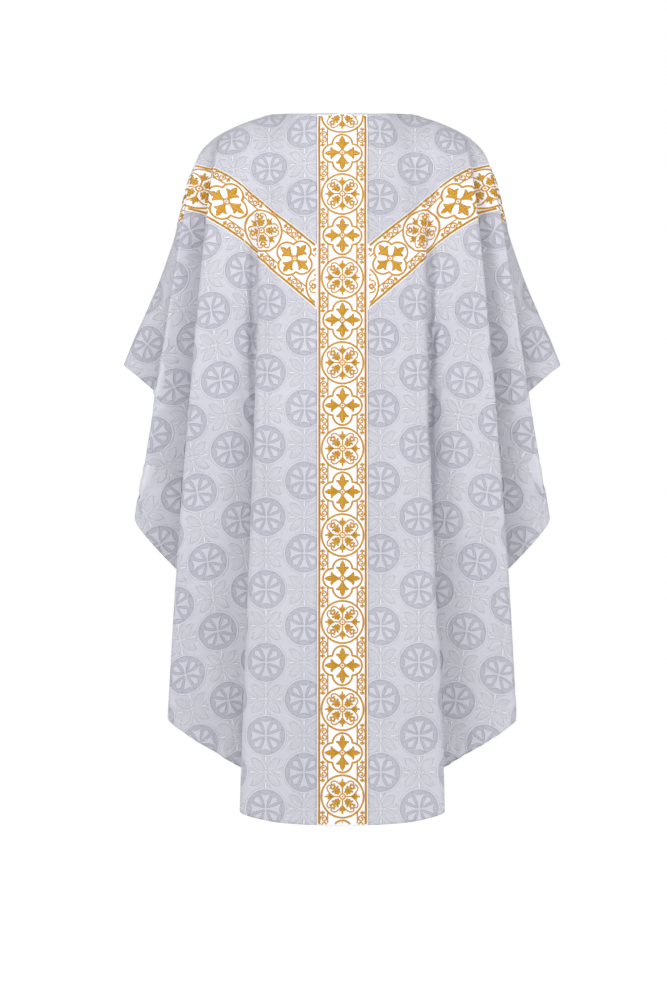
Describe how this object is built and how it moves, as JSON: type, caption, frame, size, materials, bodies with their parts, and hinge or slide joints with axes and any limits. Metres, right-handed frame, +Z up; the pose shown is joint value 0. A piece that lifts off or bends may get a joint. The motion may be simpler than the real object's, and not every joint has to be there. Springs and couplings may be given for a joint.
{
  "type": "chasuble",
  "caption": "Semi-gothic priest's chasuble in silver figured damask with a gold Y-shaped orphrey, hanging in folds as on a stand.",
  "frame": {"origin": "centre of the neck opening, level with the inner ends of the shoulder seams", "axes": "+Z up as worn, +Y towards the wearer's front, +X towards the wearer's right; the back with its orphrey faces -Y"},
  "size_m": [0.784, 0.3422, 1.2606],
  "materials": {
    "damask": "satin damask, figured with medallions",
    "galloon": "woven braid, gold metal thread on white",
    "lining": "plain satin lining",
    "canvas": "matt interfacing",
    "binding": "bias satin tape"
  },
  "bodies": {
    "root": {"back_panel": "damask", "front_panel": "damask", "back_lining": "lining", "front_lining": "lining", "back_hem_tape": "canvas", "front_hem_tape": "canvas", "back_neck_facing": "canvas", "front_neck_facing": "canvas", "back_pillar_orphrey": "galloon", "front_pillar_orphrey": "galloon", "back_left_arm_orphrey": "galloon", "back_right_arm_orphrey": "galloon", "front_left_arm_orphrey": "galloon", "front_right_arm_orphrey": "galloon", "left_shoulder_binding": "binding", "right_shoulder_binding": "binding"}
  },
  "joints": []
}
